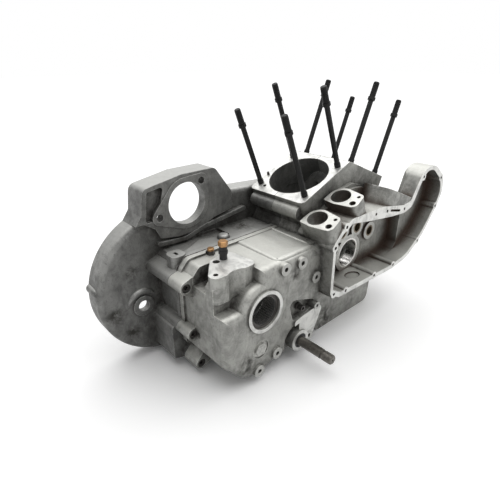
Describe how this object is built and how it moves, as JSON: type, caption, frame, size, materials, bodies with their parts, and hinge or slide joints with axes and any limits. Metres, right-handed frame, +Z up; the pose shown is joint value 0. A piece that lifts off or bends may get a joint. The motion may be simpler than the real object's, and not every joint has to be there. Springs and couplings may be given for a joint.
{
  "type": "engine crankcase",
  "caption": "Bare two-piece crankcase of a V-twin engine with its gearbox housing, cylinder studs, bearing races, bushings and fittings.",
  "frame": {"origin": "on the crank axis, in the plane where the two halves meet", "axes": "+X along the crank axis to the gear case side, +Y forward, away from the gearbox, +Z up"},
  "size_m": [0.266, 0.631, 0.4073],
  "materials": {
    "right_casting": "satin cast",
    "left_casting": "dull cast",
    "black_steel": "satin black",
    "bearing_steel": "polished",
    "dark_steel": "oiled",
    "brass": "worn",
    "bronze": "oiled",
    "seal_rubber": "matte",
    "worn_alloy": "worn"
  },
  "bodies": {
    "root": {"right_case": "right_casting", "left_case": "left_casting", "rear_cylinder_studs": "black_steel", "front_cylinder_studs": "black_steel", "deck_pins": "dark_steel", "output_bearing_shell": "dark_steel", "output_bearing_needles": "bearing_steel", "pinion_bearing_race": "bearing_steel", "cam_bushings": "bronze", "left_main_race": "bearing_steel", "left_race_clip": "dark_steel", "pivot_shaft": "dark_steel", "pivot_seal": "seal_rubber", "gearbox_plug": "worn_alloy", "switch_body": "black_steel", "switch_cap": "brass", "vent_body": "dark_steel", "vent_cap": "brass", "pocket_fitting": "dark_steel", "case_bolts": "dark_steel", "case_dowels": "bearing_steel"}
  },
  "joints": []
}
